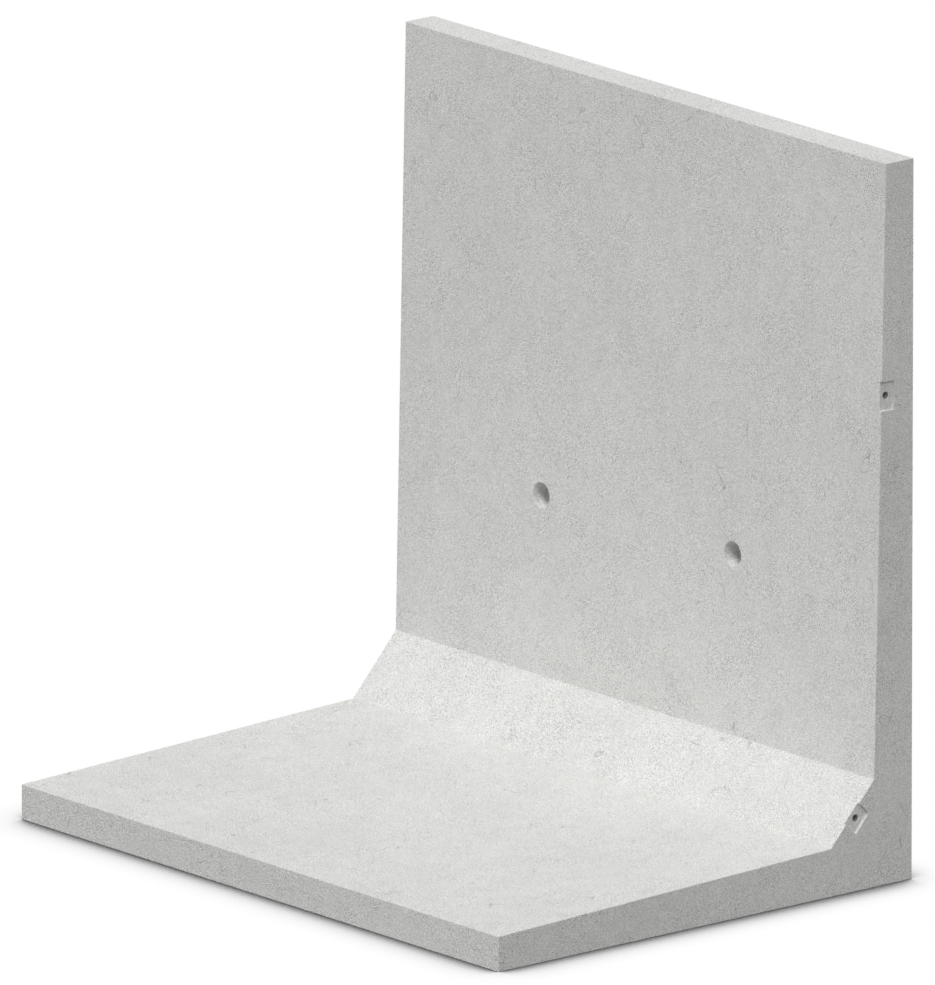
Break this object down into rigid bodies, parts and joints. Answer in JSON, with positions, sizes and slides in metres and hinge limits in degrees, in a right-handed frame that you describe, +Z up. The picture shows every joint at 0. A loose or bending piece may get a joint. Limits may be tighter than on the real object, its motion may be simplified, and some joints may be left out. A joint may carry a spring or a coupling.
{
  "type": "l-shaped precast retaining wall element",
  "caption": "Precast concrete retaining wall element, L-shaped in section, with tapered stem and foot, corner haunch, two lifting holes, and two threaded anchor sockets in pockets of its right end face.",
  "frame": {"origin": "on the ground, under the middle of the element's outline", "axes": "+X along the wall to the right end as seen from the foot's side, +Y from the foot's free edge to the stem's exposed outer face, +Z up"},
  "size_m": [2, 1.45, 2],
  "materials": {
    "concrete": "pale grey cast concrete, matt, with fine hairline marks and small air holes",
    "zinc_steel": "dull zinc-plated steel, etched pale grey by cement, dark with oil inside the thread"
  },
  "bodies": {
    "root": {"concrete_wall": "concrete", "upper_socket": "zinc_steel", "lower_socket": "zinc_steel"}
  },
  "joints": []
}
